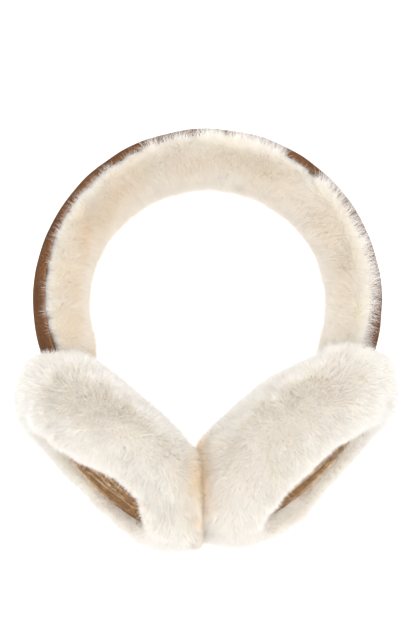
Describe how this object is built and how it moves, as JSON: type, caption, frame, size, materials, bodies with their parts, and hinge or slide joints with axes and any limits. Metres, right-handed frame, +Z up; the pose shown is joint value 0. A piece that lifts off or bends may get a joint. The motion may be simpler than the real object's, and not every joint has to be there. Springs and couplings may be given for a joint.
{
  "type": "fur earmuffs",
  "caption": "Over-the-head earmuffs: a curved suede band lined with shearling, ending in fat round shearling ear pads with domed suede discs on their outer faces.",
  "frame": {"origin": "on the floor, under the middle of the earmuffs as they lie on their back edges", "axes": "+Z up from the floor, +Y from the ear pads towards the crown of the band, +X towards the right ear pad"},
  "size_m": [0.1898, 0.2108, 0.1145],
  "materials": {
    "band_suede": "dark chestnut suede with a soft nap, worn lighter along its edges",
    "disc_suede": "light chestnut suede with a brushed nap and soft pale creases",
    "shearling": "dense cream shearling wool with soft tips, warmer towards the roots"
  },
  "bodies": {
    "root": {"band_shell": "band_suede", "band_fleece": "shearling", "cup_fleece_left": "shearling", "cup_fleece_right": "shearling", "cup_panel_left": "disc_suede", "cup_panel_right": "disc_suede"}
  },
  "joints": []
}
